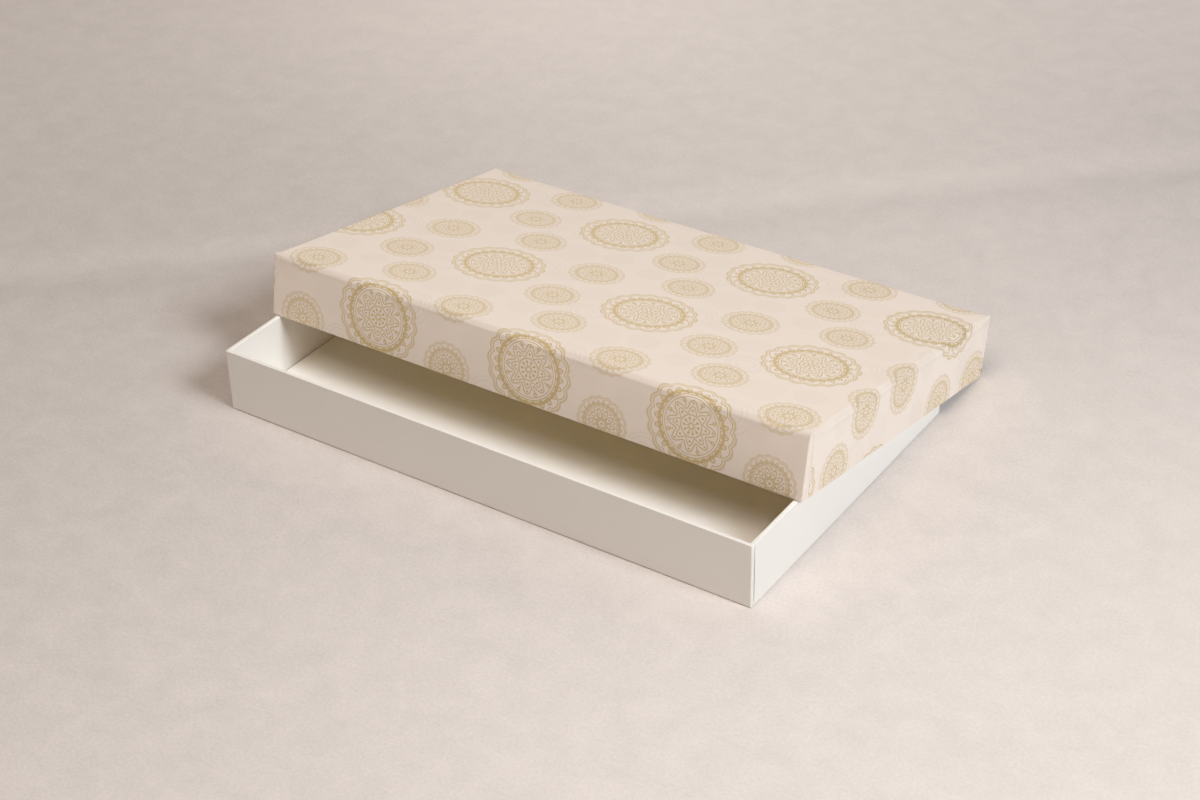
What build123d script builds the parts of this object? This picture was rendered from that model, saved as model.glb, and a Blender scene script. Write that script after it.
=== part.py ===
"""A shallow two-piece sweet box: a white tray, and a paper-covered lid that leans open on it.

Each half is a tray of glued greyboard panels. Tape stays hold its upright corners, and paper
covers it: the outside, over the rim and down the inside of the walls. The long papers lap round
the corners, and the short ones lie over those laps, with their cut edges just short of the
corner. The tray has five outside papers, and the lid one sheet that runs unbroken over its edges.

The frame is the tray's: X along its length, Y from front to rear, Z up, with the origin at the
middle of its underside. The lid is slid back and leans: its rear wall stands on the table behind
the tray, and its front wall rests on the rims of the tray's short walls.
"""

import os
from dataclasses import dataclass
from math import asin, cos, sin

from build123d import *

# Outside sizes of the tray and the lid, in millimetres
base_length = 300.0
base_width = 182.0
base_height = 34.0
lid_height = 33.0

# Sheet materials
board_thickness = 1.6
paper_thickness = 0.16
tape_thickness = 0.12

# How the lid fits over the tray, and how it leans on it
lid_clearance = 0.55  # between tray and lid, on each side, when the lid is on
lid_setback = 38.7  # from the tray's front face to the lid's, at the lid's rim
rest_gap = 0.2  # air under each edge that the lid rests on

# Rounding
base_ease = 0.35  # upright edges of the tray's boards
lid_ease = 0.7  # upright edges of the lid's boards
base_floor_ease = 0.45  # edges round the underside of the tray's floor board
lid_floor_ease = 1.4  # edges round the lid's top board
rim_ease = 0.2  # top edges of the wall boards

# Paper
lap_length = 12.0  # how far a long paper laps round a corner, and paper turns under the tray
base_seam_inset = 1.9  # from the tray's corner to the cut edge of its short paper
lid_seam_inset = 3.8  # the same on the lid
bottom_inset = 2.0  # from the tray's outline to the edge of its bottom sheet
liner_margin = 0.5  # from the inside walls to the edge of a liner

# Tape
stay_leg = 18.0  # on each wall, from the corner
stay_margin = 1.0  # from its top end to the rim of the boards

# Overrun of cuts past the faces that they open
overrun = 1.0

# Thickness of a finished wall: a short wall has a lap under its paper
long_wall = paper_thickness + tape_thickness + board_thickness + paper_thickness
short_wall = paper_thickness + long_wall

# Outside of the paper where it folds over a rim
rim_fold = rim_ease + paper_thickness

lid_length = base_length + 2 * (lid_clearance + short_wall)
lid_width = base_width + 2 * (lid_clearance + long_wall)

# The lean: one rim edge on the table, the other on the tray's rims
lid_tilt = asin(base_height / (lid_width - long_wall))
lid_rear = -base_width / 2 + lid_setback + lid_width * cos(lid_tilt)


@dataclass
class Tray:
    """One half of the box, seen with its open side up.

    The plane lies on the outside of its floor, and its Z points to the open side.
    """

    name: str
    floor_name: str
    plane: Plane
    front: int  # -1 where the front wall is at the plane's low Y, 1 where it is at the high Y
    right: int  # the same for the right wall, on X
    length: float
    width: float
    height: float
    floor_skin: float  # paper under the floor board
    ease: float
    floor_ease: float
    seam_inset: float

    @property
    def board_length(self):
        return self.length - 2 * (2 * paper_thickness + tape_thickness)

    @property
    def board_width(self):
        return self.width - 2 * (paper_thickness + tape_thickness)

    @property
    def inner_length(self):
        return self.length - 2 * short_wall

    @property
    def inner_width(self):
        return self.width - 2 * long_wall

    @property
    def floor_top(self):
        return self.floor_skin + board_thickness

    @property
    def board_top(self):
        return self.height - paper_thickness

    @property
    def corner(self):
        """Outside radius of the paper at an upright corner."""
        return self.ease + tape_thickness + paper_thickness

    @property
    def up(self):
        return Axis(self.plane.origin, self.plane.z_dir)

    def level(self, height):
        return self.plane.offset(height)

    def along_y(self):
        """A plane whose X is the tray's X and whose Y is the tray's Z, to extrude along -Y."""
        return Plane(self.plane.origin, self.plane.x_dir, -self.plane.y_dir)


base = Tray(
    name="base",
    floor_name="base_floor",
    plane=Plane.XY,
    front=-1,
    right=1,
    length=base_length,
    width=base_width,
    height=base_height,
    floor_skin=2 * paper_thickness,
    ease=base_ease,
    floor_ease=base_floor_ease,
    seam_inset=base_seam_inset,
)

lid_up = Vector(0, sin(lid_tilt), cos(lid_tilt))
lid_forward = Vector(0, -cos(lid_tilt), sin(lid_tilt))
lid_rear_rim = Vector(0, lid_rear, rest_gap)
lid = Tray(
    name="lid",
    floor_name="lid_top",
    plane=Plane(
        lid_rear_rim + lid_forward * (lid_width / 2) + lid_up * lid_height,
        x_dir=(1, 0, 0),
        z_dir=-lid_up,
    ),
    front=1,
    right=1,
    length=lid_length,
    width=lid_width,
    height=lid_height,
    floor_skin=paper_thickness,
    ease=lid_ease,
    floor_ease=lid_floor_ease,
    seam_inset=lid_seam_inset,
)


def save(part, name):
    """Labels a finished piece and writes it."""
    part.label = name
    export_step(part, f"parts/{name}.step")


# Greyboard panels


def floor_board(tray):
    """The panel that the four walls stand on, with its outside edges eased."""
    with BuildPart() as panel:
        with BuildSketch(tray.level(tray.floor_skin)):
            RectangleRounded(tray.board_length, tray.board_width, tray.ease)
        extrude(amount=board_thickness)
        fillet(panel.faces().sort_by(tray.up)[0].edges(), tray.floor_ease)
    return panel.part


def long_wall_board(tray, side):
    """A front or rear wall, the tray's full length. side is the sign of its Y."""
    with BuildPart() as panel:
        with BuildSketch(tray.level(tray.floor_top)) as outline:
            with Locations((0, side * (tray.board_width - board_thickness) / 2)):
                Rectangle(tray.board_length, board_thickness)
            outer = outline.vertices().group_by(Axis.Y)[-1 if side > 0 else 0]
            fillet(outer, tray.ease)
        extrude(amount=tray.board_top - tray.floor_top)
        fillet(panel.faces().sort_by(tray.up)[-1].edges(), rim_ease)
    return panel.part


def short_wall_board(tray, side):
    """A left or right wall, butted between the long ones. side is the sign of its X."""
    with BuildPart() as panel:
        with BuildSketch(tray.level(tray.floor_top)):
            with Locations((side * (tray.board_length - board_thickness) / 2, 0)):
                Rectangle(board_thickness, tray.board_width - 2 * board_thickness)
        extrude(amount=tray.board_top - tray.floor_top)
        rim = panel.faces().sort_by(tray.up)[-1]
        fillet(rim.edges().sort_by(SortBy.LENGTH)[-2:], rim_ease)
    return panel.part


# Tape and liners


def corner_stay(tray, side_x, side_y):
    """A strip of tape folded round the outside of one upright corner."""
    x = side_x * (tray.board_length + tape_thickness) / 2
    y = side_y * (tray.board_width + tape_thickness) / 2
    with BuildPart() as tape:
        with BuildSketch(tray.level(tray.floor_top)):
            with BuildLine():
                FilletPolyline(
                    (x - side_x * stay_leg, y),
                    (x, y),
                    (x, y - side_y * stay_leg),
                    radius=tray.ease + tape_thickness / 2,
                )
            trace(line_width=tape_thickness)
        extrude(amount=tray.board_top - stay_margin - tray.floor_top)
    return tape.part


def floor_liner(tray):
    """The sheet glued in last, over the inside of the floor."""
    with BuildPart() as sheet:
        with BuildSketch(tray.level(tray.floor_top)):
            Rectangle(
                tray.inner_length - 2 * liner_margin,
                tray.inner_width - 2 * liner_margin,
            )
        extrude(amount=paper_thickness)
    return sheet.part


def bottom_sheet(tray):
    """The sheet under the tray that hides the turned-under paper, and that the tray stands on."""
    with BuildPart() as sheet:
        with BuildSketch(tray.plane):
            Rectangle(tray.length - 2 * bottom_inset, tray.width - 2 * bottom_inset)
        extrude(amount=paper_thickness)
    return sheet.part


# Covering paper


def block(tray, length, width, low, high, corner=0.0, low_edge=0.0, high_edge=0.0):
    """A block on the tray's middle between two heights, with rounded edges if asked."""
    with BuildPart() as solid:
        with BuildSketch(tray.level(low)):
            if corner:
                RectangleRounded(length, width, corner)
            else:
                Rectangle(length, width)
        extrude(amount=high - low)
        if low_edge:
            fillet(solid.faces().sort_by(tray.up)[0].edges(), low_edge)
        if high_edge:
            fillet(solid.faces().sort_by(tray.up)[-1].edges(), high_edge)
    return solid.part


def between(tray, x_range, y_range, z_range):
    """A block between six limits in the tray's own frame, to cut paper away with."""
    with BuildPart() as solid:
        with BuildSketch(tray.level(min(z_range))):
            with Locations((sum(x_range) / 2, sum(y_range) / 2)):
                Rectangle(abs(x_range[1] - x_range[0]), abs(y_range[1] - y_range[0]))
        extrude(amount=max(z_range) - min(z_range))
    return solid.part


def skin(tray, low):
    """Paper all round the boards at the level of the laps, over the rim and down the inside.

    low is the height of its outside under the floor.
    """
    length = tray.length - 2 * paper_thickness
    fold = tray.floor_ease + paper_thickness
    outside = block(
        tray, length, tray.width, low, tray.height, tray.corner, fold, rim_fold
    )
    board_space = block(
        tray,
        length - 2 * paper_thickness,
        tray.width - 2 * paper_thickness,
        low + paper_thickness,
        tray.board_top,
        tray.corner - paper_thickness,
        tray.floor_ease,
        rim_fold - paper_thickness,
    )
    turned_in = block(
        tray,
        tray.inner_length + 2 * paper_thickness,
        tray.inner_width + 2 * paper_thickness,
        tray.floor_top,
        tray.height,
    )
    hollow = block(
        tray,
        tray.inner_length,
        tray.inner_width,
        tray.floor_top,
        tray.height + overrun,
    )
    with BuildPart() as boards:
        add(board_space)
        add(turned_in, mode=Mode.SUBTRACT)
        inner_rim = boards.faces().sort_by(tray.up)[-1].inner_wires()[0]
        fillet(inner_rim.edges(), rim_fold - paper_thickness)
    with BuildPart() as paper:
        add(outside)
        add(boards.part, mode=Mode.SUBTRACT)
        add(hollow, mode=Mode.SUBTRACT)
        mouth = paper.faces().sort_by(tray.up)[-1].inner_wires()[0]
        fillet(mouth.edges(), rim_fold)
    return paper.part


def long_paper(tray, side):
    """The paper of a front or rear wall: turned under, over the rim and in, with two laps."""
    past_end = tray.length / 2 + overrun
    far = -side * (tray.width / 2 + overrun)
    lap_end = side * (tray.width / 2 - lap_length)
    wall_inside = side * (tray.width / 2 - long_wall)
    within_laps = tray.length / 2 - 2 * paper_thickness
    above = tray.height + overrun
    lap_top = tray.height - rim_fold
    whole = skin(tray, paper_thickness)
    cuts = [
        between(tray, (-past_end, past_end), (lap_end, far), (0, above)),
        between(
            tray,
            (-within_laps, within_laps),
            (wall_inside, far),
            (tray.floor_skin, above),
        ),
        between(tray, (-past_end, past_end), (wall_inside, far), (lap_top, above)),
    ]
    with BuildPart() as paper:
        add(whole)
        add(cuts, mode=Mode.SUBTRACT)
    return paper.part


def folded_strip(tray, side, start):
    """A strip of paper that starts under the floor and ends inside a short wall.

    start is how far from the tray's middle the strip begins.
    """
    middle = paper_thickness / 2
    face = side * (tray.length / 2 - middle)
    inside = side * (tray.inner_length / 2 + middle)
    under = tray.floor_skin - middle
    rim = tray.height - middle
    half_run = tray.width / 2 - min(tray.seam_inset, long_wall)
    with BuildPart() as strip:
        with BuildSketch(tray.along_y()):
            with BuildLine():
                FilletPolyline(
                    (side * start, under),
                    (face, under),
                    (face, rim),
                    (inside, rim),
                    (inside, tray.floor_top),
                    radius=[
                        tray.floor_ease + middle,
                        rim_fold - middle,
                        rim_fold - middle,
                    ],
                )
            trace(line_width=paper_thickness)
        extrude(amount=half_run, both=True)
    return strip.part


def short_flap(tray, side, start):
    """The paper of a left or right wall, with its outside cut short of the corners."""
    lap_face = side * (tray.length / 2 - paper_thickness)
    past_end = side * (tray.length / 2 + overrun)
    above = tray.height + overrun
    whole = folded_strip(tray, side, start)
    cuts = []
    for end in (-1, 1):
        past_corner = end * (tray.width / 2 + overrun)
        seam = end * (tray.width / 2 - tray.seam_inset)
        joint = end * (tray.width / 2 - long_wall)
        outside = (lap_face, past_end)
        inside = (0, lap_face)
        cuts.append(between(tray, outside, (seam, past_corner), (-overrun, above)))
        cuts.append(between(tray, inside, (joint, past_corner), (tray.floor_skin, above)))
    with BuildPart() as paper:
        add(whole)
        add(cuts, mode=Mode.SUBTRACT)
    return paper.part


def short_paper(tray, side):
    """The paper of a left or right wall, turned under between the long papers."""
    lap_face = side * (tray.length / 2 - paper_thickness)
    whole = short_flap(tray, side, tray.length / 2 - lap_length)
    fold = (-overrun, tray.floor_skin + tray.floor_ease)
    cuts = []
    for end in (-1, 1):
        past_corner = end * (tray.width / 2 + overrun)
        lap_end = end * (tray.width / 2 - lap_length)
        cuts.append(between(tray, (0, lap_face), (lap_end, past_corner), fold))
    with BuildPart() as paper:
        add(whole)
        add(cuts, mode=Mode.SUBTRACT)
    return paper.part


def wrap(tray):
    """One sheet over the whole outside, with laps under its short flaps."""
    lap_inside = tray.length / 2 - 2 * paper_thickness
    past_end = tray.length / 2 + overrun
    free = tray.width / 2 - lap_length
    covered = (tray.floor_top, tray.board_top)
    whole = skin(tray, 0)
    flaps = [short_flap(tray, side, tray.inner_length / 2) for side in (-1, 1)]
    cuts = [
        between(tray, (side * lap_inside, side * past_end), (-free, free), covered)
        for side in (-1, 1)
    ]
    with BuildPart() as paper:
        add(whole)
        add(cuts, mode=Mode.SUBTRACT)
        add(flaps)
    return paper.part


os.makedirs("parts", exist_ok=True)

for tray in (base, lid):
    walls = {
        "front": (long_wall_board, tray.front),
        "rear": (long_wall_board, -tray.front),
        "left": (short_wall_board, -tray.right),
        "right": (short_wall_board, tray.right),
    }
    save(floor_board(tray), f"{tray.floor_name}_board")
    save(floor_liner(tray), f"{tray.floor_name}_liner")
    for wall, (panel, side) in walls.items():
        save(panel(tray, side), f"{tray.name}_{wall}_board")
    for end, side_y in (("front", tray.front), ("rear", -tray.front)):
        for hand, side_x in (("left", -tray.right), ("right", tray.right)):
            stay = corner_stay(tray, side_x, side_y)
            save(stay, f"{tray.name}_corner_tape_{end}_{hand}")

save(long_paper(base, base.front), "base_front_paper")
save(long_paper(base, -base.front), "base_rear_paper")
save(short_paper(base, -base.right), "base_left_paper")
save(short_paper(base, base.right), "base_right_paper")
save(bottom_sheet(base), "base_bottom_sheet")
save(wrap(lid), "lid_printed_wrap")
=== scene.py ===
"""Dresses the CAD frame of a two-piece sweet box for a studio picture.

The box is a white tray with a paper-covered lid leaning open on it. The covering papers are
built here as folded sheets with their own thickness, so that the print runs unbroken over the
lid's edges and the cut edges near the corners show. The lid's boards and tape are the frame's,
pressed in to fit under its soft folds. The tray's boards and tape, the bottom sheet and both
liners stay as the frame has them and get their materials. Everything is in metres.
"""

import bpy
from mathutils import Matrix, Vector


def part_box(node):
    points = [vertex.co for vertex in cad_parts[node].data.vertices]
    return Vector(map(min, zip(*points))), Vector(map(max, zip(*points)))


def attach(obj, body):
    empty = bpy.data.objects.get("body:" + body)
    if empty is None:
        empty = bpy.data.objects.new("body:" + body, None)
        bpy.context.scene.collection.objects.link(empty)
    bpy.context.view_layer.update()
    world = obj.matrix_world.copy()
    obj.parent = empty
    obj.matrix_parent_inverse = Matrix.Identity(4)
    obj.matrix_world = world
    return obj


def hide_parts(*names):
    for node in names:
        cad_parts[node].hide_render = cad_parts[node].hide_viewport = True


bl_info = {
    "name": "Sweet Box",
    "version": (1, 0, 0),
    "blender": (4, 5, 0),
    "location": "View3D > Sidebar > Sweet Box",
    "description": "Papers, print and studio for a two-piece sweet box",
    "category": "Object",
}

from dataclasses import dataclass
from functools import reduce
from math import asin, ceil, cos, pi, radians, sin

import bmesh
import bpy
from bpy.props import FloatProperty, FloatVectorProperty, PointerProperty
from mathutils import Matrix, Vector, noise

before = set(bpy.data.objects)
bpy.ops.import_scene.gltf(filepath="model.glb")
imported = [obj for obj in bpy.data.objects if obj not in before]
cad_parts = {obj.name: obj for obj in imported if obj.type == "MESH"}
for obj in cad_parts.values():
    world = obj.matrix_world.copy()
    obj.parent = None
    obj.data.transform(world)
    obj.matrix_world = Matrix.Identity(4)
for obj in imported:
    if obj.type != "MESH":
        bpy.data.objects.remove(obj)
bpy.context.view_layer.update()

MM = 0.001

# Sheet materials, as in the frame
PAPER = 0.16 * MM
TAPE = 0.12 * MM
BOARD = 1.6 * MM
LONG_WALL = 2 * PAPER + TAPE + BOARD
SHORT_WALL = LONG_WALL + PAPER
LAP = 12 * MM

# Outside radii of the paper, as in the frame
RIM_FOLD = 0.36 * MM
TRAY_FOLD = 0.61 * MM
TRAY_CORNER = 0.63 * MM
LID_CORNER = 0.98 * MM

# How the paper behaves
SHARPER_NEAR_CORNER = 14 * MM  # the lid's folds are drawn sharper this near a corner
LOOSE_STRIP = 3 * MM  # how much of a flap stands off beside its cut edge

# How finely the sheets are divided
FOLD_STEPS = 8
RIM_STEPS = 4
CORNER_STEPS = 6
CELL = 4.5 * MM
LAP_MIDDLE = 8 * MM
WELD = 0.002 * MM  # points nearer than this are one
SNAP = 0.01 * MM  # a cut goes through points that are this near

# Names of the papers' texture coordinates and of their mark for painted shade along the folds
UV = "Sheet"
PAINTED_SHADE_ATTRIBUTE = "creased"


@dataclass
class Half:
    """One half of the box in its own frame: X along it, Z from its floor to its rim."""

    body: str
    length: float
    width: float
    height: float
    floor: float  # height of the covering paper's outside under the floor
    inside: float  # height at which the turned-in paper ends
    corner: float  # outside radius of the paper at an upright corner, under the short flap
    fold: float  # outside radius where the paper folds round the edge of the floor
    seam_at_floor: float  # from the corner to the short flap's cut edge
    seam_at_rim: float
    lift: float  # how far that edge stands off at its loosest
    slack: float  # how far the folds sink where the sheet wasn't pulled tight
    place: Matrix  # from this frame to the box's

    @property
    def lap_face(self):
        """X of the outside of the laps under the short flap."""
        return self.length / 2 - PAPER

    @property
    def side(self):
        """Y of the outside of the long walls."""
        return self.width / 2

    def seam(self, height):
        """How far the short flap's cut edge is from the corner at a height."""
        start = self.floor + self.fold
        along = (height - start) / (self.height - RIM_FOLD - start)
        along = min(max(along, 0), 1)
        return self.seam_at_floor + (self.seam_at_rim - self.seam_at_floor) * along

    def near_fold(self, point):
        """1 on the folds round the floor, 0 elsewhere."""
        x, y, z = point
        edge = min(self.length / 2 - abs(x), self.side - abs(y))
        reach = self.fold * 1.01
        return float(z < reach and edge < reach)

    def tighter(self, point):
        """A point of the sheet, with the folds round the floor sharper towards the corners."""
        x, y, z = point
        end, side, fold = self.length / 2 - self.fold, self.side - self.fold, self.fold
        if not self.slack or z >= fold:
            return point
        amount = nearness(self.side - abs(y), SHARPER_NEAR_CORNER)
        x, z = squared(x, z, end, fold, amount)
        amount = nearness(self.length / 2 - abs(x), SHARPER_NEAR_CORNER)
        y, z = squared(y, z, side, fold, amount)
        return Vector((x, y, z))

    def under_folds(self, point, thin):
        """A board's point, moved in under the folds round the floor, or a tape's, below them."""
        x, y, z = point
        if thin:
            return Vector((x, y, max(z, self.fold + PAPER)))
        room = self.fold - 2 * PAPER - self.slack
        for _ in range(2):  # near a corner, the second fold undoes a little of the first
            x, z = pressed(x, z, self.length / 2 - self.fold, self.fold, room)
            y, z = pressed(y, z, self.side - self.fold, self.fold, room)
        return Vector((x, y, z))


def nearness(distance, reach):
    """1 at no distance, down to 0 at the reach and beyond."""
    return max(0, 1 - distance / reach)


def pressed(out, height, middle_out, middle_height, room):
    """A point of a board's edge, brought within a fold's inside radius."""
    across, down = abs(out) - middle_out, middle_height - height
    far = (across**2 + down**2) ** 0.5
    if across <= 0 or down <= 0 or far <= room:
        return out, height
    across, down = across * room / far, down * room / far
    return (middle_out + across) * (1 if out > 0 else -1), middle_height - down


def squared(out, height, middle_out, middle_height, amount):
    """A point of a round fold, moved towards the corner of the square round it."""
    across, down = abs(out) - middle_out, middle_height - height
    if across <= 0 or down <= 0 or amount <= 0:
        return out, height
    power = 2 + 3 * amount  # 2 is a circle, and higher powers are squarer
    far = (across**2 + down**2) ** 0.5
    grown = far / (across**power + down**power) ** (1 / power)
    return (middle_out + across * grown) * (1 if out > 0 else -1), middle_height - down * grown


def tray_half(shape):
    """The tray, measured on the frame."""
    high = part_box("base_right_paper")[1]
    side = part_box("base_rear_paper")[1][1]
    return Half(
        body="base",
        length=2 * high[0],
        width=2 * side,
        height=high[2],
        floor=PAPER,
        inside=2 * PAPER + BOARD,
        corner=TRAY_CORNER,
        fold=TRAY_FOLD,
        seam_at_floor=shape.tray_seam,
        seam_at_rim=shape.tray_seam,
        lift=shape.tray_lift,
        slack=0,
        place=Matrix(),
    )


def lid_half(shape):
    """The lid, leaning with its rear rim on the table and its front rim on the tray."""
    tray = tray_half(shape)
    length = 2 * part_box("lid_printed_wrap")[1][0]
    clearance = (length - tray.length) / 2 - SHORT_WALL
    width = tray.width + 2 * (clearance + LONG_WALL)
    height = shape.lid_height
    tilt = asin(tray.height / (width - LONG_WALL))
    forward = Vector((0, -cos(tilt), sin(tilt)))
    up = Vector((0, sin(tilt), cos(tilt)))
    rear = shape.lid_setback - tray.side + width * cos(tilt)
    origin = Vector((0, rear, shape.rest_gap)) + forward * (width / 2) + up * height
    return Half(
        body="lid",
        length=length,
        width=width,
        height=height,
        floor=0,
        inside=PAPER + BOARD,
        corner=LID_CORNER,
        fold=shape.lid_fold,
        seam_at_floor=shape.lid_seam_top,
        seam_at_rim=shape.lid_seam_rim,
        lift=shape.lid_lift,
        slack=shape.lid_slack,
        place=Matrix.Translation(origin)
        @ Matrix((Vector((1, 0, 0)), forward, -up)).transposed().to_4x4(),
    )


# Folded sheets


def arc(inset, height, radius, start, end, steps):
    """Points of an arc across a wall, as (inset, height). At 0 degrees it is at its outermost."""
    turns = [radians(start + (end - start) * k / steps) for k in range(steps + 1)]
    return [(inset - radius * cos(t), height + radius * sin(t)) for t in turns]


def line(start, end, steps):
    """Evenly spaced points after start, up to end."""
    return [
        tuple(a + (b - a) * k / steps for a, b in zip(start, end)) for k in range(1, steps + 1)
    ]


def wall_profile(half, thickness):
    """Across one wall from the floor's fold to the inside: (zone, inset, height) of each point."""
    fold, rim = half.fold, RIM_FOLD
    top = half.height - rim
    heel = arc(fold, half.floor + fold, fold, -90, 0, FOLD_STEPS)
    tall = ceil((half.height - half.floor) / CELL) + 2
    zones = [
        ("fold", heel),
        ("wall", line(heel[-1], (0, top), tall)),
        ("rim", arc(rim, top, rim, 0, 90, RIM_STEPS)[1:]),
        ("rim", line((rim, half.height), (thickness - rim, half.height), 1)),
        ("rim", arc(thickness - rim, top, rim, 90, 180, RIM_STEPS)[1:]),
        ("inside", line((thickness, top), (thickness, half.inside), tall)),
    ]
    return [(zone, *point) for zone, points in zones for point in points]


def with_run(profile, start):
    """The profile with the length of paper up to each point, which is start at the first."""
    run, last, rows = start, profile[0][1:], []
    for zone, inset, height in profile:
        run += ((inset - last[0]) ** 2 + (height - last[1]) ** 2) ** 0.5
        last = (inset, height)
        rows.append((zone, inset, height, run))
    return rows


def spread(count):
    """Evenly spaced numbers from -1 to 1."""
    return [2 * k / count - 1 for k in range(count + 1)]


def corner_marks(half):
    """Distances from the corner of the lines that divide a lap."""
    near = {half.seam_at_floor, half.seam_at_rim}
    between = (half.corner + min(near)) / 2
    return sorted({LAP, LAP_MIDDLE, between, half.corner} | near, reverse=True)


def outline_columns(half):
    """Lines that divide a long flap: its lap, the corner, its run, and the same again."""
    count = ceil(half.length / CELL)
    laps = [("lap", mark) for mark in corner_marks(half)]
    turns = [("turn", 1 - k / CORNER_STEPS) for k in range(1, CORNER_STEPS)]
    left = [(kind, -1, amount) for kind, amount in laps + turns]
    right = [(kind, 1, amount) for kind, amount in reversed(laps + turns)]
    return left + [("run", 1, t) for t in spread(count)] + right


def on_outline(half, column, inset):
    """(x, y, u) on the front-right quarter's outline, set in from the outer faces by inset."""
    kind, side, amount = column
    square = max(half.corner, inset)
    radius = max(half.corner - inset, 0)
    end = half.lap_face - square
    if kind == "run":
        return amount * end, half.side - inset, amount * end
    if kind == "turn":
        turn = amount * pi / 2
        x = end + radius * sin(turn)
        y = half.side - square + radius * cos(turn)
        return side * x, y, side * (end + half.corner * turn)
    down = max(amount, square)
    u = end + half.corner * pi / 2 + down - square
    return side * (half.lap_face - inset), half.side - down, side * u


def lap_distance(column):
    """How far a column is from the corner along the short wall, or 0 on the long side."""
    return column[2] if column[0] == "lap" else 0


class Sheet:
    """A sheet of paper put together from grids of points, welded where they meet."""

    def __init__(self, name, half):
        self.name = name
        self.half = half
        self.mesh = bmesh.new()
        self.uv = self.mesh.loops.layers.uv.new(UV)

    def grid(self, points, keep):
        """Adds the cells of a grid of (x, y, z, u, v) for which keep(row, column) holds."""
        verts = [[None] * len(points[0]) for _ in points]

        def vert(i, j):
            if verts[i][j] is None:
                verts[i][j] = self.mesh.verts.new(points[i][j][:3])
            return verts[i][j]

        for i in range(len(points) - 1):
            for j in range(len(points[0]) - 1):
                if not keep(i, j):
                    continue
                cell = [(i, j), (i, j + 1), (i + 1, j + 1), (i + 1, j)]
                face = self.mesh.faces.new([vert(*corner) for corner in cell])
                for loop, (a, b) in zip(face.loops, cell):
                    loop[self.uv].uv = points[a][b][3:]

    def panel(self):
        """The flat of the lid's top, with lines that meet those of its four flaps."""
        half = self.half
        seam, fold = half.seam_at_floor, half.fold
        xs = [t * (half.lap_face - fold) for t in spread(ceil(half.length / CELL))]
        outer = sorted({half.side - max(m, fold) for m in corner_marks(half) if m < seam})
        inner = [t * (half.side - seam) for t in spread(ceil(half.width / CELL))]
        ys = [-y for y in reversed(outer)] + inner + outer
        self.grid([[(x, y, half.floor, x, y) for x in xs] for y in ys], lambda i, j: True)

    def long_flap(self, sign, keep):
        """A flap over a long wall and round its corners. keep(zone, distance) picks its cells."""
        half = self.half
        rows = with_run(wall_profile(half, LONG_WALL), half.side - half.fold)
        columns = outline_columns(half)
        points = []
        for _, inset, height, run in rows:
            places = [on_outline(half, column, inset) for column in columns]
            points.append([(x, sign * y, height, u, sign * run) for x, y, u in places])

        def kept(i, j):
            far = max(lap_distance(columns[j]), lap_distance(columns[j + 1]))
            return keep(rows[i + 1][0], far)

        self.grid(points, kept)

    def turned_under(self, sign):
        """The strip of a long flap that is turned under the floor."""
        half = self.half
        xs = [t * (half.lap_face - half.fold) for t in spread(ceil(half.length / CELL))]
        ys = [half.side - max(mark, half.fold) for mark in corner_marks(half)]
        rows = [[(x, sign * y, half.floor, x, sign * y) for x in xs] for y in ys]
        self.grid(rows, lambda i, j: True)

    def short_flap(self, sign, reach, keep):
        """A flap over a short wall. It starts reach in from the wall's outside."""
        half = self.half
        face = half.length / 2
        profile = wall_profile(half, SHORT_WALL)
        rows = with_run([("under", reach, half.floor)] + profile, face - reach)
        middle = (half.side - LAP) / (half.side - half.seam_at_floor)
        columns = sorted(set(spread(ceil(half.width / CELL))) | {-middle, middle})
        points = []
        for zone, inset, height, run in rows:
            edge = half.side - half.seam(height if zone != "inside" else half.height)
            row = []
            for t in columns:
                x = face - inset + self.stand_off(zone, t * edge, height, edge)
                row.append((sign * x, t * edge, height, sign * run, t * edge))
            points.append(row)
        self.grid(
            points,
            lambda i, j: keep(
                rows[i + 1][0], max(abs(columns[j]), abs(columns[j + 1])) > middle, i
            ),
        )

    def stand_off(self, zone, y, height, edge):
        """How far the short flap stands off near its cut edge, which is glued less well."""
        if zone != "wall":
            return 0
        half = self.half
        near = nearness(edge - abs(y), LOOSE_STRIP)
        # The floor's fold and the rim hold it, and it is loosest a little below halfway
        along = (height - half.floor) / (half.height - half.floor)
        loosest = sin(pi * min(max(along * 0.85 + 0.12, 0), 1))
        return half.lift * near**1.5 * loosest

    def finish(self, waviness, paper, back, slot, *nodes):
        """Welds the grids, gives the sheet its thickness and puts it in the box."""
        bm, half = self.mesh, self.half
        bmesh.ops.remove_doubles(bm, verts=bm.verts, dist=WELD)
        bmesh.ops.recalc_face_normals(bm, faces=bm.faces)
        lowest = min(bm.faces, key=lambda face: face.calc_center_median().z)
        if lowest.normal.z > 0:
            bmesh.ops.reverse_faces(bm, faces=bm.faces)
        bm.normal_update()
        shading_layer = bm.verts.layers.float.new(PAINTED_SHADE_ATTRIBUTE)
        for vert in bm.verts:
            # 1 halfway round a fold, and 0 on the flats
            slant = 4 * vert.normal.z**2 * (1 - vert.normal.z**2)
            soft = half.slack * slant * ripple(vert.co * 0.6)
            # Marks painted shade along the folds round the floor, strongest halfway round them;
            # the lid's printed paper darkens its colour there
            vert[shading_layer] = half.near_fold(vert.co) * (0.3 + 0.7 * slant)
            vert.co = half.tighter(vert.co) - vert.normal * (waviness * ripple(vert.co) + soft)
        for edge in bm.edges:
            edge.smooth = not edge.is_boundary
        for face in bm.faces:
            face.smooth = True
        bm.transform(half.place)
        piece = new_object(self.name, bm, paper, back)
        shell = piece.modifiers.new("Paper thickness", "SOLIDIFY")
        shell.thickness = PAPER
        shell.offset = -1
        shell.material_offset = 1
        shell.material_offset_rim = 1
        normals = piece.modifiers.new("Flat faces lead", "WEIGHTED_NORMAL")
        normals.keep_sharp = True
        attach(piece, half.body)
        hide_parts(*nodes)
        return piece


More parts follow.
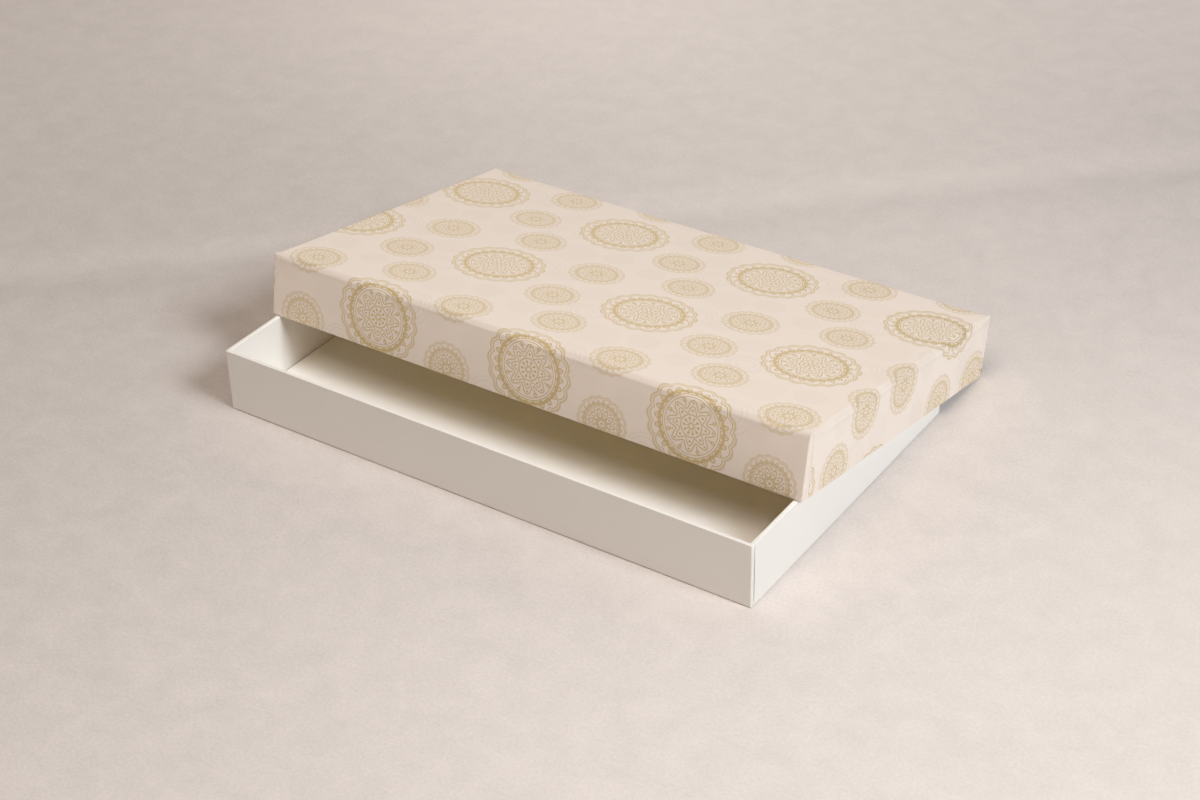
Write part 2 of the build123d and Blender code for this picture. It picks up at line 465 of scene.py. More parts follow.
def new_object(name, bm, *materials):
    """A new object in the scene, made from a bmesh, which is freed."""
    data = bpy.data.meshes.new(name)
    bm.to_mesh(data)
    bm.free()
    for material in materials:
        data.materials.append(material)
    piece = bpy.data.objects.new(name, data)
    bpy.context.scene.collection.objects.link(piece)
    return piece


def pressed_piece(name, node_name, half, material):
    """A frame node's solid, pressed in at its outer edges to fit under the wrap's round folds."""
    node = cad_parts[node_name]
    bm = bmesh.new()
    bm.from_mesh(node.data)
    bm.transform(half.place.inverted() @ node.matrix_world)
    depths = [half.fold * k / FOLD_STEPS for k in range(1, FOLD_STEPS + 1)]
    cuts = [((0, 0, depth), (0, 0, 1)) for depth in depths]
    for depth in depths:
        for sign in (-1, 1):
            cuts.append(((sign * (half.length / 2 - depth), 0, 0), (1, 0, 0)))
            cuts.append(((0, sign * (half.side - depth), 0), (0, 1, 0)))
    for point, normal in cuts:
        everything = bm.verts[:] + bm.edges[:] + bm.faces[:]
        bmesh.ops.bisect_plane(
            bm, geom=everything, dist=SNAP, plane_co=point, plane_no=normal
        )
    for vert in bm.verts:
        vert.co = half.under_folds(vert.co, thin="tape" in name)
    bmesh.ops.remove_doubles(bm, verts=bm.verts, dist=WELD)
    bm.transform(half.place)
    piece = new_object(name, bm, material)
    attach(piece, half.body)
    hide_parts(node_name)
    return piece


def ripple(point):
    """A slow, uneven swell from 0 to 1, as glued paper and board have."""
    slow = noise.noise(point * 22)
    quick = noise.noise(point * 75 + Vector((3, 1, 7)))
    return min(max(0.5 + 0.6 * slow + 0.25 * quick, 0), 1)


# Shader numbers


class Field:
    """A number that varies over a surface. Arithmetic on it adds Math nodes."""

    def __init__(self, tree, socket):
        self.tree = tree
        self.socket = socket

    def math(self, operation, *others, clamp=False):
        """The result of a Math node on this number and others."""
        node = self.tree.nodes.new("ShaderNodeMath")
        node.operation = operation
        node.use_clamp = clamp
        for slot, value in zip(node.inputs, (self, *others)):
            self.feed(slot, value)
        return Field(self.tree, node.outputs[0])

    def feed(self, slot, value):
        """Links a field to a socket, or sets a plain number there."""
        if isinstance(value, Field):
            self.tree.links.new(value.socket, slot)
        else:
            slot.default_value = value

    def between(self, first, second):
        """The number this far from first to second."""
        node = self.tree.nodes.new("ShaderNodeMix")
        for slot, value in zip((0, 2, 3), (self, first, second)):
            self.feed(node.inputs[slot], value)
        return Field(self.tree, node.outputs[0])

    def __add__(self, other):
        return self.math("ADD", other)

    def __sub__(self, other):
        return self.math("SUBTRACT", other)

    def __mul__(self, other):
        return self.math("MULTIPLY", other)

    def __truediv__(self, other):
        return self.math("DIVIDE", other)

    def __abs__(self):
        return self.math("ABSOLUTE")

    def cos(self):
        return self.math("COSINE")

    def sin(self):
        return self.math("SINE")

    def sqrt(self):
        return self.math("SQRT")

    def least(self, other):
        return self.math("MINIMUM", other)

    def most(self, other):
        return self.math("MAXIMUM", other)

    def wrapped(self, half_span):
        """Brought to within half_span of 0 by whole spans."""
        return self.math("WRAP", half_span, -half_span)

    def rounded(self):
        return self.math("ROUND")

    def mask(self, softness):
        """1 where the number is well below 0, 0 where it is well above."""
        node = self.tree.nodes.new("ShaderNodeMapRange")
        node.inputs["From Min"].default_value = softness
        node.inputs["From Max"].default_value = -softness
        self.tree.links.new(self.socket, node.inputs["Value"])
        return Field(self.tree, node.outputs["Result"])


# The print. A shape's function gives how far outside the shape's ink a point is, in
# millimetres of a medallion drawn at full size


def length_of(x, y):
    """How far a point is from the middle."""
    return (x * x + y * y).sqrt()


def ring(distance, radius, width):
    """A ring, for a point at a distance from its middle."""
    return abs(distance - radius) - width / 2


def wave(distance, angle, mean, swing, count, width):
    """A closed wavy line with count waves."""
    turns = angle * count
    slope = turns.sin() * (swing * count) / distance.most(1)
    steep = (slope * slope + 1).sqrt()
    return abs(distance - turns.cos() * swing - mean) / steep - width / 2


def petals(x, y, far, long, wide, width):
    """The outline of a petal that points outwards."""
    across = length_of((x - far) / long, y / wide)
    return abs(across - 1) * wide - width / 2


def folded(distance, angle, count, shift=0.0):
    """The point's place seen from the middle line of its own one of count sectors."""
    turn = (angle + shift).wrapped(pi / count)
    return distance * turn.cos(), distance * turn.sin()


MEDALLION = 24.0  # radius at which the medallion is drawn
MEDALLIONS = (  # place in the repeat, radius, and 1 if drawn in the small way
    (0.0, 0.0, 24.0, 0.0),
    (42.6, 24.6, 14.5, 1.0),
    (42.4, -14.3, 14.0, 1.0),
    (63.7, -40.0, 13.7, 1.0),
)
LARGE_GAIN = 0.02  # what the lines gain on each side as the ink spreads
SMALL_GAIN = 0.05  # the same where they are drawn small
SMALL_PALER = 0.2  # how much paler the small medallions are


def print_lattice(pattern, u, v, across, along):
    """The place of a point seen from the nearest motif of one kind, in millimetres."""
    up = v - (pattern.first_v / MM + along)
    row = (up / (pattern.row_pitch / MM)).rounded()
    dv = up - row * (pattern.row_pitch / MM)
    du = u - (pattern.first_u / MM + across) - row * (pattern.row_shift / MM)
    return du.wrapped(pattern.pitch / MM / 2), dv


def medallion(x, y):
    """The lines, inner lines, band and border of a medallion."""
    r = length_of(x, y)
    a = y.math("ARCTAN2", x)
    # A scalloped border with a line inside it, and a toothed band
    lobe = abs((a * 9).cos())
    border = abs(r - lobe * 1.5 - 21.9) - 0.55
    band = abs(r - (a * 60).cos() * 0.3 - 17.0) - 0.85
    lines = abs(r - lobe * 1.8 - 20.2) - 0.22
    # Small petals with a dot in each, and the ring that they stand on
    lx, ly = folded(r, a, 24)
    lines = lines.least(petals(lx, ly, 17.7, 1.7, 1.2, 0.4))
    lines = lines.least(length_of(lx - 18.3, ly) - 0.3)
    lines = lines.least(ring(r, 15.3, 0.4))
    # Inside: rings, and two wavy lines with dots in their bays
    fine = ring(r, 14.0, 0.35).least(ring(r, 5.5, 0.5)).least(ring(r, 1.3, 0.5))
    fine = fine.least(wave(r, a, 10.6, 2.1, 8, 0.5)).least(wave(r, a, 8.0, 1.7, 8, 0.45))
    lx, ly = folded(r, a, 8)
    fine = fine.least(length_of(lx - 11.3, ly) - 0.55).least(length_of(lx - 7.6, ly) - 0.6)
    # Buds on stalks between the bays
    lx, ly = folded(r, a, 8, pi / 8)
    fine = fine.least((abs(ly) - 0.25).most(abs(lx - 11.2) - 1.5))
    fine = fine.least(petals(lx, ly, 12.6, 0.9, 0.8, 0.4))
    # Spokes that end in dots, round the middle
    lx, ly = folded(r, a, 10)
    fine = fine.least((abs(ly) - 0.2).most(abs(lx - 2.6) - 1))
    fine = fine.least(length_of(lx - 3.8, ly) - 0.65)
    return lines, fine, band, border


def small_flower(x, y):
    """The plainer flower inside a small medallion, drawn just as large."""
    r = length_of(x, y)
    a = y.math("ARCTAN2", x)
    lx, ly = folded(r, a, 10)
    lines = petals(lx, ly, 8.4, 4.0, 2.0, 0.8).least(length_of((lx - 8.4) / 1.6, ly) - 0.7)
    lines = lines.least(ring(r, 3.2, 0.8)).least(r - 1.3)
    lx, ly = folded(r, a, 10, pi / 10)
    return lines.least(length_of(lx - 12.4, ly) - 0.9).least(ring(r, 14.3, 0.5))


# Materials


def new_material(name, color, roughness):
    """A material with a plain shader, and its tree and shader node."""
    material = bpy.data.materials.new(name)
    material.use_nodes = True
    tree = material.node_tree
    shader = tree.nodes["Principled BSDF"]
    shader.inputs["Base Color"].default_value = (*color, 1)
    shader.inputs["Roughness"].default_value = roughness
    return material, tree, shader


def texture_noise(tree, vector, scale, detail=3.0, roughness=0.5, distortion=0.0):
    """Cloudy noise as a field around 0.5. scale is in clouds to the metre."""
    node = tree.nodes.new("ShaderNodeTexNoise")
    node.inputs["Scale"].default_value = scale
    node.inputs["Detail"].default_value = detail
    node.inputs["Roughness"].default_value = roughness
    node.inputs["Distortion"].default_value = distortion
    tree.links.new(vector, node.inputs["Vector"])
    return Field(tree, node.outputs["Fac"])


def object_place(tree):
    """The point's place in the object, which is its place in the box at rest."""
    return tree.nodes.new("ShaderNodeTexCoord").outputs["Object"]


def mixed(tree, factor, first, second):
    """The colour between two colours or sockets at a factor field."""
    node = tree.nodes.new("ShaderNodeMix")
    node.data_type = "RGBA"
    tree.links.new(factor.socket, node.inputs["Factor"])
    for slot, value in zip((node.inputs[6], node.inputs[7]), (first, second)):
        if hasattr(value, "is_linked"):
            tree.links.new(value, slot)
        else:
            slot.default_value = (*value, 1)
    return node.outputs[2]


def bump(tree, shader, height, strength, distance):
    """Raises the surface by a height field."""
    node = tree.nodes.new("ShaderNodeBump")
    node.inputs["Strength"].default_value = strength
    node.inputs["Distance"].default_value = distance
    tree.links.new(height.socket, node.inputs["Height"])
    tree.links.new(node.outputs["Normal"], shader.inputs["Normal"])


def darker(color, amount):
    """The colour times an amount."""
    return tuple(channel * amount for channel in color)


def satin_paper(name, color, roughness=0.45):
    """Smooth paper with a faint formation, fine tooth and a slight sheen."""
    material, tree, shader = new_material(name, color, roughness)
    place = object_place(tree)
    clouds = texture_noise(tree, place, 160, detail=4)
    tone = mixed(tree, clouds, darker(color, 0.985), color)
    tree.links.new(tone, shader.inputs["Base Color"])
    tooth = texture_noise(tree, place, 2600, detail=2)
    bump(tree, shader, tooth + clouds * 0.6, 0.12, 0.05 * MM)
    shine = tooth * 0.12 + (roughness - 0.06)
    tree.links.new(shine.socket, shader.inputs["Roughness"])
    shader.inputs["Specular IOR Level"].default_value = 0.42
    return material


def fibre_board(name, color):
    """Recycled greyboard: grey with pale and dark fibres."""
    material, tree, shader = new_material(name, color, 0.85)
    place = object_place(tree)
    fibres = texture_noise(tree, place, 900, detail=5, roughness=0.7, distortion=1.2)
    flecks = texture_noise(tree, place, 2200, detail=2)
    tone = mixed(tree, fibres, darker(color, 0.8), darker(color, 1.15))
    dark = (flecks - 0.68).math("MULTIPLY", 6, clamp=True)
    tone = mixed(tree, dark, tone, darker(color, 0.45))
    tree.links.new(tone, shader.inputs["Base Color"])
    bump(tree, shader, fibres, 0.4, 0.1 * MM)
    shader.inputs["Specular IOR Level"].default_value = 0.2
    return material


def kraft_paper(name, color):
    """Uncoated brown paper with streaky fibres."""
    material, tree, shader = new_material(name, color, 0.75)
    place = object_place(tree)
    stretch = tree.nodes.new("ShaderNodeVectorMath")
    stretch.operation = "MULTIPLY"
    stretch.inputs[1].default_value = (0.25, 1, 1)
    tree.links.new(place, stretch.inputs[0])
    fibres = texture_noise(tree, stretch.outputs[0], 1600, detail=4, roughness=0.6)
    tone = mixed(tree, fibres, darker(color, 0.82), darker(color, 1.12))
    tree.links.new(tone, shader.inputs["Base Color"])
    bump(tree, shader, fibres, 0.25, 0.05 * MM)
    shader.inputs["Specular IOR Level"].default_value = 0.25
    return material


# Painted light and shade on the backdrop: broad paler and darker pools that even out the lamps'
# falloff, and a darker pool under and beside the box
FLOOR_PAINTED_LIGHT = (  # place, radius and change of the backdrop's paler and darker parts
    (-0.35, -0.19, 0.4, -0.235),
    (0.28, 0.44, 0.16, -0.25),
    (-0.32, 0.44, 0.16, 0.24),
    (0.07, 0.0, 0.08, -0.3),
    (0.12, -0.12, 0.13, 0.1),
    (-0.3, 0.12, 0.12, -0.03),
)
# Painted light and shade beside a fold in the backdrop paper, lighter on one side and darker on
# the other
BACKDROP_FOLD_SHADING = (0.005, 0.26, radians(43), 0.014, 0.07)  # place, direction, half width and depth


def backdrop_paper(name, color):
    """Studio backdrop with a sponged look: fine specks, clouds, broad painted light and shade, and
    painted shading beside a fold in the paper.
    """
    material, tree, shader = new_material(name, color, 0.8)
    place = object_place(tree)
    tone = None
    # Painted light and shade: each pool makes the backdrop paler or darker round its place
    for x, y, radius, change in FLOOR_PAINTED_LIGHT:
        node = tree.nodes.new("ShaderNodeVectorMath")
        node.operation = "DISTANCE"
        node.inputs[1].default_value = (x, y, 0)
        tree.links.new(place, node.inputs[0])
        far = Field(tree, node.outputs["Value"])
        painted_pool = (far * far * (-0.5 / radius**2)).math("EXPONENT") * change
        tone = painted_pool + 1 if tone is None else tone + painted_pool
    split = tree.nodes.new("ShaderNodeSeparateXYZ")
    tree.links.new(place, split.inputs[0])
    # Painted shading of that fold: a light band on one side and a dark band on the other
    x, y, turn, width, depth = BACKDROP_FOLD_SHADING
    off = (Field(tree, split.outputs[1]) - y) * (cos(turn) / width)
    off = off - (Field(tree, split.outputs[0]) - x) * (sin(turn) / width)
    tone = tone + off * (off * off * -0.5).math("EXPONENT") * depth
    clouds = texture_noise(tree, place, 55, detail=6, roughness=0.68, distortion=0.4)
    specks = texture_noise(tree, place, 620, detail=3, roughness=0.85)
    tone = tone + (clouds - 0.5) * 0.2 + (specks - 0.5) * 0.32
    shade = tree.nodes.new("ShaderNodeVectorMath")
    shade.operation = "SCALE"
    shade.inputs[0].default_value = color
    tree.links.new(tone.socket, shade.inputs["Scale"])
    tree.links.new(shade.outputs["Vector"], shader.inputs["Base Color"])
    bump(tree, shader, clouds + specks * 0.3, 0.15, 0.3 * MM)
    shader.inputs["Specular IOR Level"].default_value = 0.2
    return material


def printed_paper(name, pattern):
    """Pale satin paper with rows of medallions in metallic ink."""
    material, tree, shader = new_material(name, pattern.paper, 0.42)
    sheet = tree.nodes.new("ShaderNodeUVMap")
    sheet.uv_map = UV
    scale = tree.nodes.new("ShaderNodeVectorMath")
    scale.operation = "SCALE"
    scale.inputs["Scale"].default_value = 1 / MM
    tree.links.new(sheet.outputs["UV"], scale.inputs[0])
    split = tree.nodes.new("ShaderNodeSeparateXYZ")
    tree.links.new(scale.outputs["Vector"], split.inputs[0])
    u, v = (Field(tree, split.outputs[axis]) for axis in "XY")
    v = v * -1
    soft = pattern.ink_softness / MM

    # Each point looks only at the nearest medallion of the four in a repeat
    nearest = None
    for across, along, size, small in MEDALLIONS:
        du, dv = print_lattice(pattern, u, v, across, along)
        du, dv = du * (MEDALLION / size), dv * (MEDALLION / size)
        found = (du * du + dv * dv, du, dv, small)
        if nearest is None:
            nearest = found
            continue
        closer = found[0].math("LESS_THAN", nearest[0])
        nearest = [closer.between(old, new) for old, new in zip(nearest, found)]
    x, y, small = nearest[1:]
    lines, fine, band, border = medallion(x, y)
    fine = small.between(fine, small_flower(x, y))
    gain = small.between(LARGE_GAIN, SMALL_GAIN)
    amount = (lines - gain).mask(soft).most((fine - LARGE_GAIN).mask(soft) * 0.9)
    amount = amount.most(band.mask(soft) * 0.8).most(border.mask(soft) * 0.6)
    amount = amount * (small * -SMALL_PALER + 1)

    ghosts = ghost_print(pattern, u, v)
    tone = mixed(tree, ghosts, pattern.paper, pattern.ghost)
    tone = mixed(tree, amount, tone, pattern.ink)
    # Painted shade: the colour goes darker along the folds round the lid's top, most halfway round
    # them, which dims their highlight
    folds = tree.nodes.new("ShaderNodeAttribute")
    folds.attribute_name = PAINTED_SHADE_ATTRIBUTE
    painted_shade_field = Field(tree, folds.outputs["Fac"]) * pattern.painted_shade_amount
    tone = mixed(tree, painted_shade_field, tone, (0, 0, 0))

    place = object_place(tree)
    clouds = texture_noise(tree, place, 140, detail=3)
    tone = mixed(tree, clouds * 0.05, tone, darker(pattern.paper, 0.7))
    tree.links.new(tone, shader.inputs["Base Color"])
    tree.links.new((amount * pattern.ink_metal).socket, shader.inputs["Metallic"])
    tooth = texture_noise(tree, place, 2400, detail=2)
    shine = tooth * 0.1 + 0.37 - amount * 0.06
    tree.links.new(shine.socket, shader.inputs["Roughness"])
    bump(tree, shader, tooth * 0.4 + amount * 0.6, 0.15, 0.04 * MM)
    shader.inputs["Specular IOR Level"].default_value = 0.45
    return material


GHOST_RINGS = (  # place in the repeat and radii
    (-23.5, -20.5, (9.4, 7.5, 4.5)),
    (19.0, 13.0, (10.5, 8.0, 5.5)),
)
GHOST_DISCS = (  # place in the repeat, radius and depth of tone
    (40.5, -38.0, 7.5, 0.3),
    (16.8, -32.0, 8.0, 0.32),
    (-4.0, -40.8, 12.0, 0.22),
    (-31.5, 1.8, 9.0, 0.22),
    (33.1, 10.6, 7.0, 0.28),
)


def ghost_print(pattern, u, v):
    """Faint rings and discs behind the medallions."""
    marks = []
    for across, along, radii in GHOST_RINGS:
        r = length_of(*print_lattice(pattern, u, v, across, along))
        rings = [ring(r, radius, 0.6) for radius in radii]
        marks.append(reduce(Field.least, rings).mask(0.35) * 0.8)
    for across, along, radius, depth in GHOST_DISCS:
        r = length_of(*print_lattice(pattern, u, v, across, along))
        marks.append((r - radius).mask(0.8) * depth)
    return reduce(Field.most, marks)


# What a user may change


def length_property(name, description, default):
    """A length in metres."""
    return FloatProperty(
        name=name, description=description, default=default, unit="LENGTH", precision=5
    )


def angle_property(name, description, degrees):
    """An angle, with its default in degrees."""
    return FloatProperty(
        name=name, description=description, default=radians(degrees), subtype="ANGLE"
    )


def color_property(name, description, default):
    """A colour."""
    return FloatVectorProperty(
        name=name, description=description, default=default, subtype="COLOR", min=0, max=1
    )


def share_property(name, description, default):
    """A share from 0 to 1."""
    return FloatProperty(
        name=name, description=description, default=default, subtype="FACTOR", min=0, max=1
    )


def power_property(name, watts):
    """The power of a lamp in watts."""
    return FloatProperty(name=name, description="Of the lamp", default=watts, unit="POWER")


class SweetBoxShape(bpy.types.PropertyGroup):
    """How the lid leans, and how the papers fold"""

    lid_height: length_property("Lid height", "Height of the lid's walls", 33 * MM)
    lid_setback: length_property(
        "Lid setback", "From the tray's front to the lid's front rim", 38.7 * MM
    )
    rest_gap: length_property("Rest gap", "Air under the lid's rear rim", 0.2 * MM)
    lid_seam_top: length_property(
        "Lid seam at the top", "From the corner to the side flap's cut edge", 3.2 * MM
    )
    lid_seam_rim: length_property("Lid seam at the rim", "The same at the rim", 4.6 * MM)
    tray_seam: length_property(
        "Tray seam", "From the corner to the side paper's cut edge", 2.0 * MM
    )
    lid_fold: length_property("Lid fold", "Radius of the folds round the lid's top", 3.0 * MM)
    lid_slack: length_property("Lid slack", "How far those folds sink in places", 0.3 * MM)
    lid_lift: length_property("Lid seam lift", "How far that edge stands off", 0.05 * MM)
    tray_lift: length_property("Tray seam lift", "The same on the tray", 0.3 * MM)
    waviness: length_property("Waviness", "Depth of the unevenness of the faces", 0.07 * MM)


class SweetBoxPrint(bpy.types.PropertyGroup):
    """The pattern on the lid's paper, measured from the middle of its flat sheet"""

    paper: color_property("Paper", "Colour of the lid's paper", (0.897, 0.786, 0.701))
    ghost: color_property("Ghost", "Faint shapes behind the medallions", (0.813, 0.708, 0.624))
    ink: color_property("Ink", "Metallic ink", (0.652, 0.5, 0.206))
    ink_metal: share_property("Metal", "How metallic the ink is", 0.6)
    # Strength of the painted shade that darkens the lid's folds
    painted_shade_amount: share_property("Fold shade", "How much duller the folds are", 0.15)
    ink_softness: length_property("Ink softness", "Blur of the ink's edge", 0.08 * MM)
    first_u: length_property("Start across", "Middle of one large medallion", -63.2 * MM)
    first_v: length_property("Start along", "Middle of one large medallion", -26.0 * MM)
    pitch: length_property("Pitch", "From medallion to medallion in a row", 89.4 * MM)
    row_pitch: length_property("Row pitch", "From row to row", 81.5 * MM)
    row_shift: length_property("Row shift", "How far each row is offset", 22.65 * MM)


class SweetBoxMaterials(bpy.types.PropertyGroup):
    """Colours of the plain sheets"""

    white: color_property("White paper", "Tray and paper backs", (0.888, 0.848, 0.808))
    tray_liner: color_property("Tray liner", "Sheet on the tray's floor", (0.95, 0.94, 0.925))
    liner: color_property("Lid liner", "Sheet inside the lid's top", (0.95, 0.83, 0.5))
    board: color_property("Greyboard", "Boards inside the walls", (0.4, 0.37, 0.32))
    tape: color_property("Tape", "Stay tape on the corners", (0.48, 0.33, 0.18))


class SweetBoxStage(bpy.types.PropertyGroup):
    """The floor, the lamps, the room's light and the camera"""

    floor: color_property("Floor", "Studio floor", (0.797, 0.726, 0.692))
    backdrop: color_property("Backdrop", "Seen past the floor", (0.575, 0.505, 0.46))
    key_color: color_property("Key light", "Lamp on the right", (0.865, 0.95, 1.0))
    key_power: power_property("Key power", 51)
    key_bearing: angle_property("Key bearing", "From +X towards +Y", -6)
    key_height: angle_property("Key elevation", "Above the floor", 41)
    key_distance: length_property("Key distance", "From the box to the lamp", 2.6)
    key_size: length_property("Key size", "Width of the lamp", 1.0)
    top_color: color_property("Top light", "Lamp overhead", (1.0, 0.88, 0.77))
    top_power: power_property("Top power", 33.6)
    top_bearing: angle_property("Top bearing", "From +X towards +Y", -80)
    top_height: angle_property("Top elevation", "Above the floor", 69)
    top_distance: length_property("Top distance", "From the box to the lamp", 2.6)
    top_size: length_property("Top size", "Width of the lamp", 1.7)
    rear_color: color_property("Rear light", "Lamp behind on the left", (1.0, 0.97, 0.93))
    rear_power: power_property("Rear power", 2.3)
    rear_bearing: angle_property("Rear bearing", "From +X towards +Y", 120)
    rear_height: angle_property("Rear elevation", "Above the floor", 24)
    rear_distance: length_property("Rear distance", "From the box to the lamp", 2.6)
    rear_size: length_property("Rear size", "Width of the lamp", 1.3)
    room_color: color_property("Room", "Light from all round", (1.0, 0.8, 0.62))
    room_power: FloatProperty(name="Room light", description="Strength", default=0.072)
    lens: FloatProperty(
        name="Lens", description="Focal length", default=69.076, unit="CAMERA", min=1
    )
    view_bearing: angle_property("View bearing", "Round the box", 34.456)
    view_height: angle_property("View elevation", "Above the floor", 33.382)
    view_roll: angle_property("Roll", "Turn of the frame", -1.394)
    view_distance: length_property("View distance", "From the target to the lens", 1.14832)
    view_target: FloatVectorProperty(
        name="Target",
        description="Point in the middle of the picture",
        default=(0.0016, 0.01224, 0.0),
        subtype="TRANSLATION",
        unit="LENGTH",
        precision=5,
    )


# Operators


def paint(name, material):
    """Gives a carried-over frame node its material."""
    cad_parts[name].material_slots[0].material = material


class SWEETBOX_OT_lid_wrap(bpy.types.Operator):
    """Builds the lid's printed paper as one folded sheet"""

    bl_idname = "sweetbox.lid_wrap"
    bl_label = "Lid wrap"

    def execute(self, context):
        shape = context.scene.sweetbox_shape
        colors = context.scene.sweetbox_materials
        half = lid_half(shape)
        sheet = Sheet("lid_wrap", half)
        sheet.panel()

        def lap_kept(zone, distance):
            limits = {"fold": half.seam_at_floor, "wall": LAP}
            return distance <= limits.get(zone, half.seam_at_rim)

        for sign in (-1, 1):
            sheet.long_flap(sign, lap_kept)
            sheet.short_flap(sign, half.fold + PAPER, lambda zone, outer, row: True)
        paper = printed_paper("Printed paper", context.scene.sweetbox_print)
        back = satin_paper("Wrap back", colors.white)
        sheet.finish(shape.waviness, paper, back, "printed_paper", "lid_printed_wrap")
        return {"FINISHED"}


class SWEETBOX_OT_tray_papers(bpy.types.Operator):
    """Builds the tray's four covering papers"""

    bl_idname = "sweetbox.tray_papers"
    bl_label = "Tray papers"

    def execute(self, context):
        shape = context.scene.sweetbox_shape
        colors = context.scene.sweetbox_materials
        white = satin_paper("Tray paper", colors.white, 0.4)
        half = tray_half(shape)

        def lap_kept(zone, distance):
            return distance <= (LAP if zone in ("fold", "wall") else half.seam_at_rim)

        def flap_kept(zone, outer, row):
            return not outer or zone not in ("under", "fold") or row > FOLD_STEPS // 2

        for wall, sign in (("front", -1), ("rear", 1)):
            sheet = Sheet(f"tray_{wall}_paper", half)
            sheet.turned_under(sign)
            sheet.long_flap(sign, lap_kept)
            sheet.finish(shape.waviness, white, white, "white_paper", f"base_{wall}_paper")
        for wall, sign in (("left", -1), ("right", 1)):
            sheet = Sheet(f"tray_{wall}_paper", half)
            sheet.short_flap(sign, LAP, flap_kept)
            sheet.finish(shape.waviness, white, white, "white_paper", f"base_{wall}_paper")
        paint("base_bottom_sheet", white)
        paint("base_floor_liner", satin_paper("Tray liner", colors.tray_liner))
        return {"FINISHED"}


class SWEETBOX_OT_inner_parts(bpy.types.Operator):
    """Gives boards, tape and the lid's liner their materials, and presses in the lid's boards"""

    bl_idname = "sweetbox.inner_parts"
    bl_label = "Boards, tape and liner"

    def execute(self, context):
        colors = context.scene.sweetbox_materials
        board = fibre_board("Greyboard", colors.board)
        tape = kraft_paper("Stay tape", colors.tape)
        paint("lid_top_liner", kraft_paper("Lid liner", colors.liner))
        half = lid_half(context.scene.sweetbox_shape)
        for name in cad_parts:
            if name.endswith("_board"):
                material, slot = board, "greyboard"
            elif "_tape_" in name:
                material, slot = tape, "stay_tape"
            else:
                continue
            if name.startswith("lid_"):
                pressed_piece(f"{name}_pressed", name, half, material)
            else:
                paint(name, material)
        return {"FINISHED"}


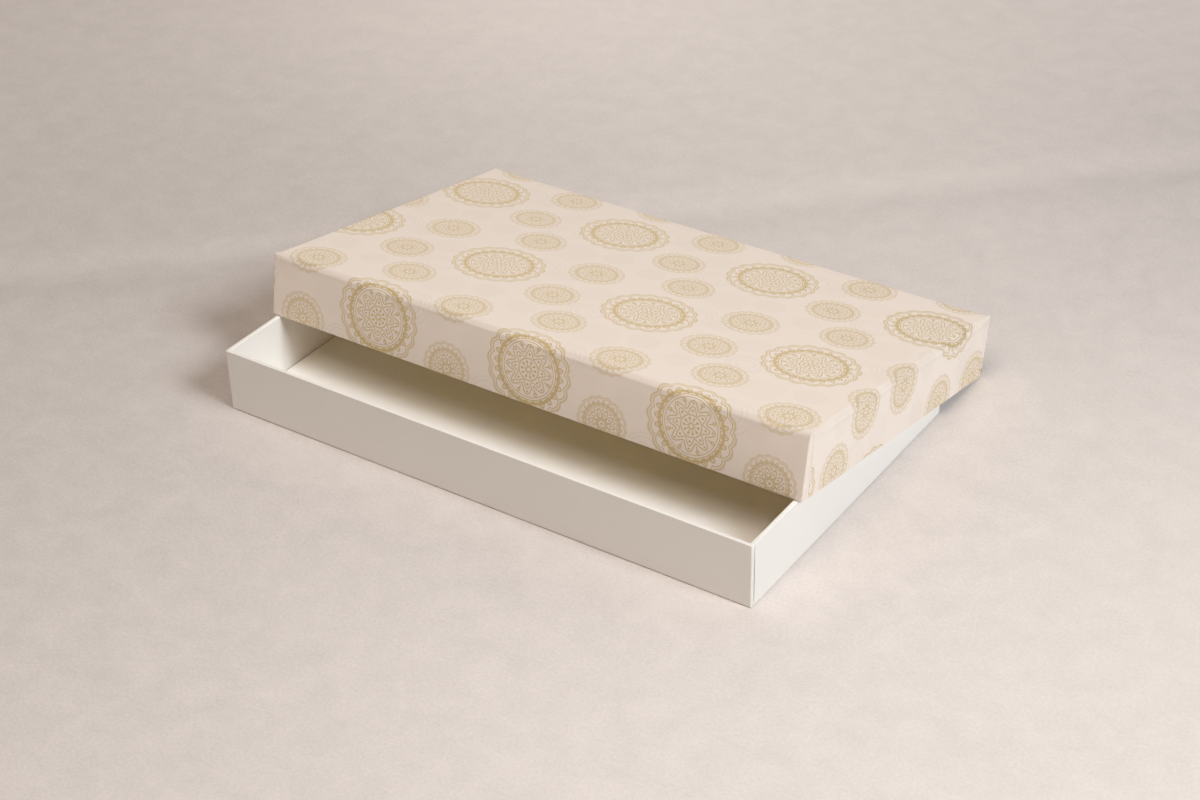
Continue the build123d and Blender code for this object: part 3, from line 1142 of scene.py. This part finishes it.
class SWEETBOX_OT_stage(bpy.types.Operator):
    """Sets the floor, the lights, the room and the camera"""

    bl_idname = "sweetbox.stage"
    bl_label = "Stage"

    def execute(self, context):
        stage = context.scene.sweetbox_stage
        self.lay_floor(stage)
        for lamp in ("key", "top", "rear"):
            look = [
                getattr(stage, f"{lamp}_{value}")
                for value in ("color", "power", "bearing", "height", "distance", "size")
            ]
            self.hang_lamp(lamp, stage, *look)
        self.light_room(context.scene, stage)
        self.set_camera(context.scene, stage)
        context.scene.view_settings.view_transform = "Standard"
        # The space under the lid is lit only by light that has bounced many times
        context.scene.cycles.diffuse_bounces = 10
        return {"FINISHED"}

    def lay_floor(self, stage):
        """A wide floor of mottled studio paper."""
        bm = bmesh.new()
        bmesh.ops.create_grid(bm, x_segments=60, y_segments=60, size=12)
        paper = backdrop_paper("Studio floor", tuple(stage.floor))
        floor = new_object("studio_floor", bm, paper)

    def hang_lamp(self, name, stage, color, power, bearing, height, distance, size):
        """A large soft lamp aimed at the box."""
        data = bpy.data.lights.new(name, "AREA")
        data.energy = power
        data.color = color
        data.shape = "DISK"
        data.size = size
        lamp = bpy.data.objects.new(name, data)
        bpy.context.scene.collection.objects.link(lamp)
        away = Vector(
            (cos(height) * cos(bearing), cos(height) * sin(bearing), sin(height))
        )
        lamp.location = Vector(stage.view_target) + away * distance
        lamp.rotation_euler = away.to_track_quat("Z", "Y").to_euler()

    def light_room(self, scene, stage):
        """A weak warm light from all round, seen itself as a pale backdrop."""
        world = bpy.data.worlds.new("Room")
        world.use_nodes = True
        tree = world.node_tree
        tree.nodes.clear()
        room = tree.nodes.new("ShaderNodeBackground")
        room.inputs["Color"].default_value = (*stage.room_color, 1)
        room.inputs["Strength"].default_value = stage.room_power
        seen = tree.nodes.new("ShaderNodeBackground")
        seen.inputs["Color"].default_value = (*stage.backdrop, 1)
        rays = tree.nodes.new("ShaderNodeLightPath")
        straight = Field(tree, rays.outputs["Is Camera Ray"])
        for kind in ("Is Glossy Ray", "Is Transmission Ray"):
            straight = straight.most(Field(tree, rays.outputs[kind]))
        choice = tree.nodes.new("ShaderNodeMixShader")
        output = tree.nodes.new("ShaderNodeOutputWorld")
        tree.links.new(straight.socket, choice.inputs["Fac"])
        tree.links.new(room.outputs[0], choice.inputs[1])
        tree.links.new(seen.outputs[0], choice.inputs[2])
        tree.links.new(choice.outputs[0], output.inputs["Surface"])
        scene.world = world

    def set_camera(self, scene, stage):
        """The camera of the photograph."""
        data = bpy.data.cameras.new("Camera")
        data.sensor_width = 36
        data.lens = stage.lens
        data.clip_start = 0.01
        camera = bpy.data.objects.new("Camera", data)
        scene.collection.objects.link(camera)
        turn = (
            Matrix.Rotation(stage.view_bearing, 4, "Z")
            @ Matrix.Rotation(pi / 2 - stage.view_height, 4, "X")
            @ Matrix.Rotation(stage.view_roll, 4, "Z")
        )
        back = Matrix.Translation((0, 0, stage.view_distance))
        camera.matrix_world = Matrix.Translation(stage.view_target) @ turn @ back
        scene.camera = camera


class SWEETBOX_PT_panel(bpy.types.Panel):
    """Lists the steps that dress the box"""

    bl_idname = "SWEETBOX_PT_panel"
    bl_label = "Sweet Box"
    bl_space_type = "VIEW_3D"
    bl_region_type = "UI"
    bl_category = "Sweet Box"

    def draw(self, context):
        for operator in OPERATORS:
            self.layout.operator(operator.bl_idname)
        for name in GROUPS:
            group = getattr(context.scene, name)
            box = self.layout.box()
            for key in group.__annotations__:
                box.prop(group, key)


GROUPS = {
    "sweetbox_shape": SweetBoxShape,
    "sweetbox_print": SweetBoxPrint,
    "sweetbox_materials": SweetBoxMaterials,
    "sweetbox_stage": SweetBoxStage,
}
OPERATORS = (
    SWEETBOX_OT_inner_parts,
    SWEETBOX_OT_tray_papers,
    SWEETBOX_OT_lid_wrap,
    SWEETBOX_OT_stage,
)


def register():
    """Registers the classes and gives the scene their settings."""
    for cls in (*GROUPS.values(), *OPERATORS, SWEETBOX_PT_panel):
        bpy.utils.register_class(cls)
    for name, cls in GROUPS.items():
        setattr(bpy.types.Scene, name, PointerProperty(type=cls))


def unregister():
    """Takes back what register did."""
    for name in GROUPS:
        delattr(bpy.types.Scene, name)
    for cls in reversed((*GROUPS.values(), *OPERATORS, SWEETBOX_PT_panel)):
        bpy.utils.unregister_class(cls)


def main():
    """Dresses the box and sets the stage."""
    register()
    bpy.ops.sweetbox.inner_parts()
    bpy.ops.sweetbox.tray_papers()
    bpy.ops.sweetbox.lid_wrap()
    bpy.ops.sweetbox.stage()


if __name__ == "__main__":
    main()
